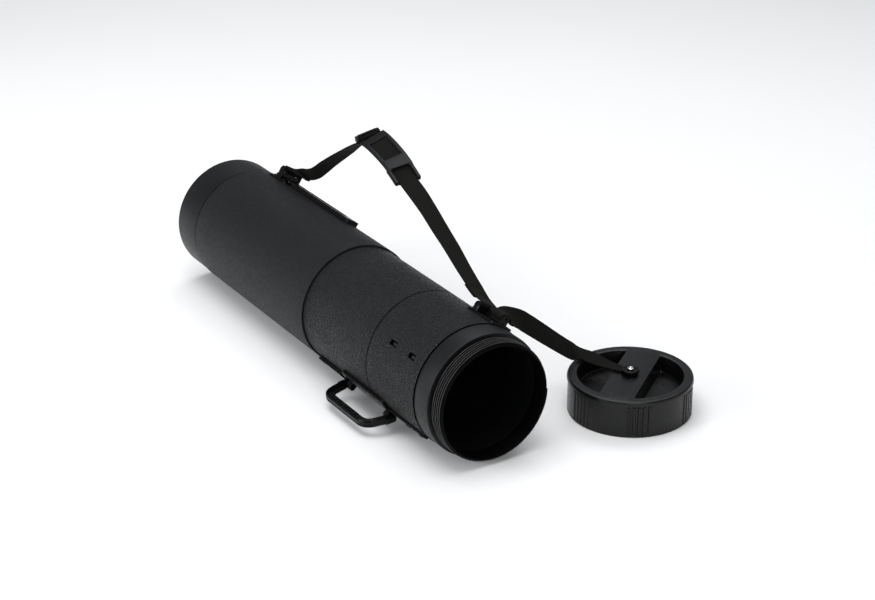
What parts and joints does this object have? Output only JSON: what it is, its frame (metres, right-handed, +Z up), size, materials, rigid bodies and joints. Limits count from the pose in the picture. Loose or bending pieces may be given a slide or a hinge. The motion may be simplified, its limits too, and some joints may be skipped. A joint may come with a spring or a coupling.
{
  "type": "drawing tube",
  "caption": "Telescopic plastic tube for rolled drawings, with a shoulder strap, a folding carrying handle and a screw lid on a webbing tether.",
  "frame": {"origin": "centre of the closed end's flat face", "axes": "+X along the tube from the closed end to the mouth, +Z up with the tube lying on its side, +Y towards the loose lid"},
  "size_m": [0.5599, 0.306, 0.2024],
  "materials": {
    "fine_grain_shell": "fine leather grain",
    "coarse_grain_shell": "coarse leather grain",
    "smooth_shell": "satin moulded",
    "inner_plastic": "smooth",
    "moulded_trim": "satin moulded",
    "pad_plastic": "satin moulded",
    "lid_plastic": "satin moulded",
    "webbing": "woven",
    "black_metal": "black",
    "bright_rivet": "polished",
    "soft_ring": "matt"
  },
  "bodies": {
    "rear_section": {"end_cap": "smooth_shell", "rear_tube": "fine_grain_shell", "guide_bush": "inner_plastic", "friction_ring": "soft_ring", "strap_rail": "moulded_trim", "strap_rail_rivets": "black_metal", "rear_strap_bracket": "moulded_trim", "rear_strap_bar": "black_metal", "shoulder_strap_rear": "webbing"},
    "front_section": {"inner_tube": "inner_plastic", "slide_ring": "inner_plastic", "front_sleeve": "coarse_grain_shell", "latch_collar": "coarse_grain_shell", "threaded_neck": "smooth_shell", "handle_rail": "moulded_trim", "handle_plate": "moulded_trim", "handle_rivets": "black_metal", "handle_pins": "black_metal", "front_strap_bracket": "moulded_trim", "front_strap_bar": "black_metal", "tether_bar": "black_metal", "bracket_rivets": "black_metal", "shoulder_strap_front": "webbing", "strap_buckle": "moulded_trim", "shoulder_pad": "pad_plastic"},
    "handle": {"carry_handle": "moulded_trim"},
    "tether": {"lid_tether": "webbing", "swivel_disc": "moulded_trim", "lid_rivet": "bright_rivet", "rivet_washer": "bright_rivet"},
    "lid": {"lid_skirt": "lid_plastic", "lid_well": "lid_plastic", "lid_grip_bar": "lid_plastic"}
  },
  "joints": [
    {"name": "tube_extend", "type": "slide", "parent": "rear_section", "child": "front_section", "axis": [1, 0, 0], "range_m": [0, 0.17]},
    {"name": "handle_fold", "type": "hinge", "parent": "front_section", "child": "handle", "pos_m": [0.3805, -0.04812, -0.04647], "axis": [1, 0, 0], "range_deg": [-34, 110]},
    {"name": "tether_swing", "type": "hinge", "parent": "front_section", "child": "tether", "pos_m": [0.4704, 0.03825, 0.05671], "axis": [1, 0, 0], "range_deg": [0, 70]},
    {"name": "lid_swivel", "type": "hinge", "parent": "tether", "child": "lid", "pos_m": [0.5, 0.168, -0.0255], "axis": [0, 0, 1], "continuous": true}
  ]
}
